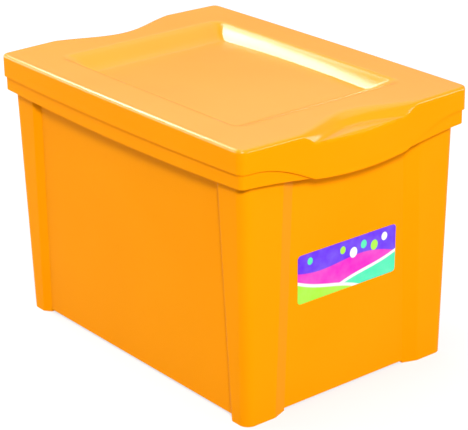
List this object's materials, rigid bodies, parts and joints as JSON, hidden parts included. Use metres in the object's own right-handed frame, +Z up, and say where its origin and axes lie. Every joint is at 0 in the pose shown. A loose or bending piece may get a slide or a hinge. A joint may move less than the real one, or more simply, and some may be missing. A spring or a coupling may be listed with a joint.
{
  "type": "lidded storage box",
  "caption": "Moulded plastic storage box with corner posts, an overhanging rim and a lift-off lid that has a sunken top and scooped end grips; keeps art supplies.",
  "frame": {"origin": "on the ground, under the middle of the box", "axes": "+X along the length towards the end with the label, +Y across, +Z up"},
  "size_m": [0.423, 0.3016, 0.3],
  "materials": {
    "tub": "semi-gloss injection-moulded polypropylene, bright orange",
    "lid": "semi-gloss injection-moulded polypropylene, bright orange",
    "label": "printed film, abstract shapes in violet, magenta, mint, lime and white"
  },
  "bodies": {
    "tub": {"tub": "tub", "label": "label"},
    "lid": {"lid": "lid"}
  },
  "joints": [
    {"name": "lid_lift", "type": "slide", "parent": "tub", "child": "lid", "axis": [0, 0, 1], "range_m": [0, 0.08]}
  ]
}
